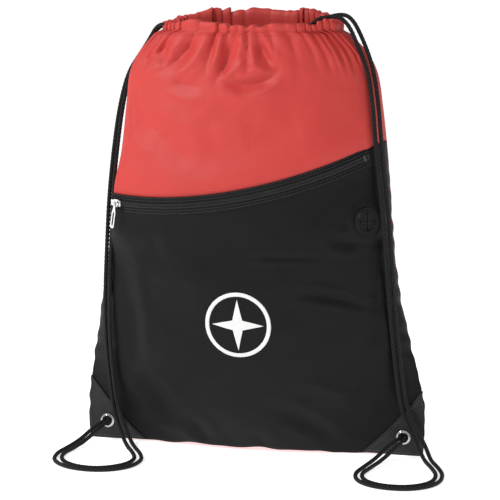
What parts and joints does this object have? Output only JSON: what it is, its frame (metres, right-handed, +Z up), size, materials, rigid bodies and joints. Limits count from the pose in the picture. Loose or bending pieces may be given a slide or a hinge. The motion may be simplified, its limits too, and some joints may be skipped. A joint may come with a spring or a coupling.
{
  "type": "drawstring backpack",
  "caption": "Filled drawstring backpack: two fabric panels, zipped front pocket, corner patches with eyelets, rubber cable port and doubled drawcords as shoulder straps.",
  "frame": {"origin": "on the floor under the middle of the standing bag, its drawcords and knots left out", "axes": "+Z up to the mouth, -Y towards the zip pocket, +X to the right as one faces the pocket"},
  "size_m": [0.3896, 0.2061, 0.441],
  "materials": {
    "red_fabric": "plain-woven polyester, low sheen",
    "black_fabric": "plain-woven polyester, low sheen",
    "patch": "pebbled imitation leather",
    "print": "screen print",
    "cord": "round braid",
    "eyelet_metal": "bright plated",
    "coil": "coil teeth",
    "zip_metal": "plated die casting",
    "port_rubber": "moulded, satin"
  },
  "bodies": {
    "bag": {"front_panel": "red_fabric", "back_panel": "red_fabric", "front_sleeve": "red_fabric", "back_sleeve": "red_fabric", "pocket_panel": "black_fabric", "corner_patch_front_left": "patch", "corner_patch_front_right": "patch", "corner_patch_back_left": "patch", "corner_patch_back_right": "patch", "printed_mark": "print", "left_cord_loop": "cord", "right_cord_loop": "cord", "left_cord_front": "cord", "left_cord_back": "cord", "right_cord_front": "cord", "right_cord_back": "cord", "left_knot": "cord", "right_knot": "cord", "eyelet_left": "eyelet_metal", "eyelet_right": "eyelet_metal", "eyelet_washer_left": "eyelet_metal", "eyelet_washer_right": "eyelet_metal", "zipper_tape_upper": "black_fabric", "zipper_tape_lower": "black_fabric", "zipper_coil_upper": "coil", "zipper_coil_lower": "coil", "zipper_stop_left": "zip_metal", "zipper_stop_right": "zip_metal", "port_ring": "port_rubber"},
    "slider": {"slider_body": "zip_metal"},
    "pull": {"zipper_pull": "zip_metal"},
    "flap_1": {"port_flap_1": "port_rubber"},
    "flap_2": {"port_flap_2": "port_rubber"},
    "flap_3": {"port_flap_3": "port_rubber"},
    "flap_4": {"port_flap_4": "port_rubber"}
  },
  "joints": [
    {"name": "zipper_slide", "type": "hinge", "parent": "bag", "child": "slider", "pos_m": [-0.027, 0.146, 0.365], "axis": [-0.1658, -0.4337, 0.8857], "range_deg": [0, 59.5]},
    {"name": "pull_swing", "type": "hinge", "parent": "slider", "child": "pull", "pos_m": [-0.12852, -0.05189, 0.25158], "axis": [-0.8991, 0.4355, 0.045], "range_deg": [-8, 160]},
    {"name": "port_flap_1_bend", "type": "hinge", "parent": "bag", "child": "flap_1", "pos_m": [0.12469, -0.0385, 0.24473], "axis": [-0.5771, -0.4094, 0.7066], "range_deg": [0, 45], "stiffness_Nm_per_rad": 0.0005},
    {"name": "port_flap_2_bend", "type": "hinge", "parent": "bag", "child": "flap_2", "pos_m": [0.11807, -0.04357, 0.24473], "axis": [-0.5462, -0.4498, -0.7067], "range_deg": [0, 45], "stiffness_Nm_per_rad": 0.0005},
    {"name": "port_flap_3_bend", "type": "hinge", "parent": "bag", "child": "flap_3", "pos_m": [0.11825, -0.04381, 0.23639], "axis": [0.5771, 0.4094, -0.7066], "range_deg": [0, 45], "stiffness_Nm_per_rad": 0.0005},
    {"name": "port_flap_4_bend", "type": "hinge", "parent": "bag", "child": "flap_4", "pos_m": [0.12488, -0.03874, 0.23639], "axis": [0.5462, 0.4498, 0.7067], "range_deg": [0, 45], "stiffness_Nm_per_rad": 0.0005}
  ]
}
